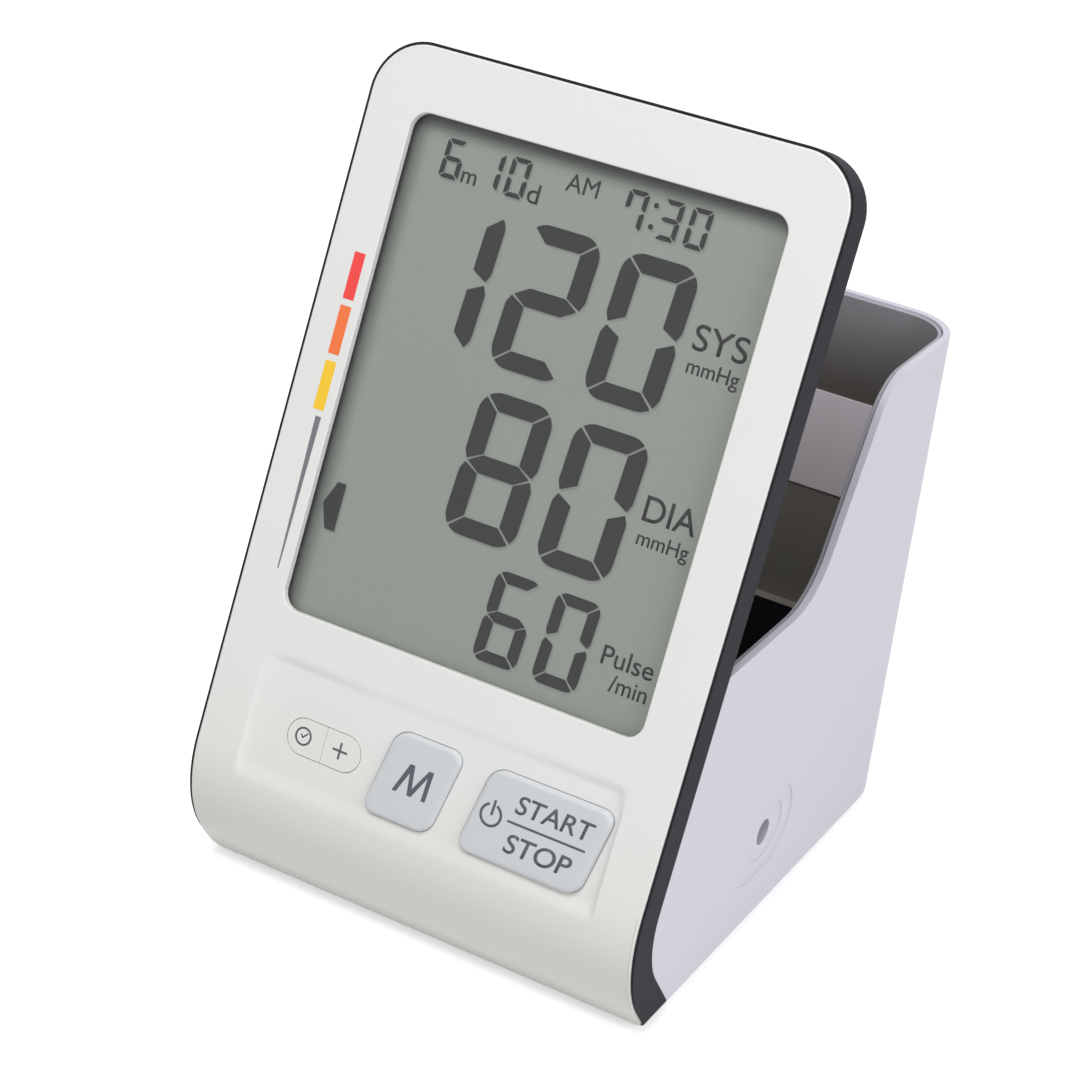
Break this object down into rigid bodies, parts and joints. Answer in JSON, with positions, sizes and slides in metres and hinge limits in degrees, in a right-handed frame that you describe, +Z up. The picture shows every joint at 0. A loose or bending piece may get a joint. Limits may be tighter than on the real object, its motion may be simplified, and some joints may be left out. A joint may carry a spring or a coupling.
{
  "type": "upper-arm blood pressure monitor",
  "caption": "Desktop blood pressure monitor with a leaning display head, oblique keys, a side power inlet and air socket, and an open storage bin behind.",
  "frame": {"origin": "bottom centre of the whole monitor, on the surface it stands on", "axes": "+X to the right as its user faces the display, where the power inlet is; +Y from the display to the back of the bin; +Z up"},
  "size_m": [0.105, 0.1294, 0.1712],
  "materials": {
    "cover_white": "satin moulded plastic",
    "trim_slate": "dark satin plastic with a fine grain",
    "window_clear": "clear acrylic",
    "lcd_grey": "grey-green display glass",
    "inner_white": "natural moulded plastic",
    "zebra_rubber": "matt",
    "board_green": "solder mask",
    "chip_black": "matt",
    "sensor_metal": "stamped can",
    "contact_metal": "plated",
    "key_pale": "satin pale blue-grey",
    "housing_lilac": "satin moulded plastic",
    "liner_dark": "dark satin plastic",
    "mat_black": "matt",
    "strip_grey": "smooth film",
    "base_grey": "satin moulded plastic",
    "cell_jacket": "printed jacket without print",
    "motor_can": "plated can",
    "pump_black": "matt",
    "shaft_steel": "ground",
    "tube_silicone": "translucent silicone",
    "foot_rubber": "matt",
    "screw_steel": "plated"
  },
  "bodies": {
    "monitor": {"front_cover": "cover_white", "trim_frame": "trim_slate", "display_back": "trim_slate", "display_lens": "window_clear", "lcd_cell": "lcd_grey", "lcd_holder": "inner_white", "zebra_strips": "zebra_rubber", "main_board": "board_green", "board_chips": "chip_black", "pressure_sensor": "sensor_metal", "buzzer": "chip_black", "key_contacts": "contact_metal", "rear_housing": "housing_lilac", "storage_liner": "liner_dark", "liner_mat": "mat_black", "label_strip": "strip_grey", "base_plate": "base_grey", "battery_cells": "cell_jacket", "contact_springs": "contact_metal", "contact_plates": "contact_metal", "pump_motor": "motor_can", "pump_head": "pump_black", "pump_bracket": "base_grey", "valve_body": "motor_can", "air_manifold": "inner_white", "air_tubes": "tube_silicone", "air_socket": "trim_slate", "dc_jack": "chip_black", "jack_pin": "contact_metal", "rubber_feet": "foot_rubber", "base_screws": "screw_steel", "head_screws": "screw_steel", "board_screws": "screw_steel"},
    "start_stop_key": {"start_stop_button": "key_pale"},
    "memory_key": {"memory_button": "key_pale"},
    "clock_press_key": {"clock_key": "cover_white"},
    "plus_press_key": {"plus_key": "cover_white"},
    "battery_door": {"battery_cover": "base_grey"},
    "pump_rotor": {"motor_shaft": "shaft_steel", "pump_cam": "inner_white"},
    "valve_core": {"valve_plunger": "shaft_steel"}
  },
  "joints": [
    {"name": "start_stop_press", "type": "slide", "parent": "monitor", "child": "start_stop_key", "axis": [0, 0.9373, -0.3486], "range_m": [0, 0.0008], "stiffness_N_per_m": 150, "springref_m": -0.002},
    {"name": "memory_press", "type": "slide", "parent": "monitor", "child": "memory_key", "axis": [0, 0.9373, -0.3486], "range_m": [0, 0.0008], "stiffness_N_per_m": 150, "springref_m": -0.002},
    {"name": "clock_press", "type": "slide", "parent": "monitor", "child": "clock_press_key", "axis": [0, 0.9373, -0.3486], "range_m": [0, 0.0008], "stiffness_N_per_m": 150, "springref_m": -0.002},
    {"name": "plus_press", "type": "slide", "parent": "monitor", "child": "plus_press_key", "axis": [0, 0.9373, -0.3486], "range_m": [0, 0.0008], "stiffness_N_per_m": 150, "springref_m": -0.002},
    {"name": "battery_door_slide", "type": "slide", "parent": "monitor", "child": "battery_door", "axis": [0, 1, 0], "range_m": [0, 0.008]},
    {"name": "pump_spin", "type": "hinge", "parent": "monitor", "child": "pump_rotor", "pos_m": [0, -0.02982, 0.0228], "axis": [1, 0, 0], "continuous": true},
    {"name": "valve_slide", "type": "slide", "parent": "monitor", "child": "valve_core", "axis": [-1, 0, 0], "range_m": [0, 0.001], "stiffness_N_per_m": 200, "springref_m": -0.001}
  ]
}
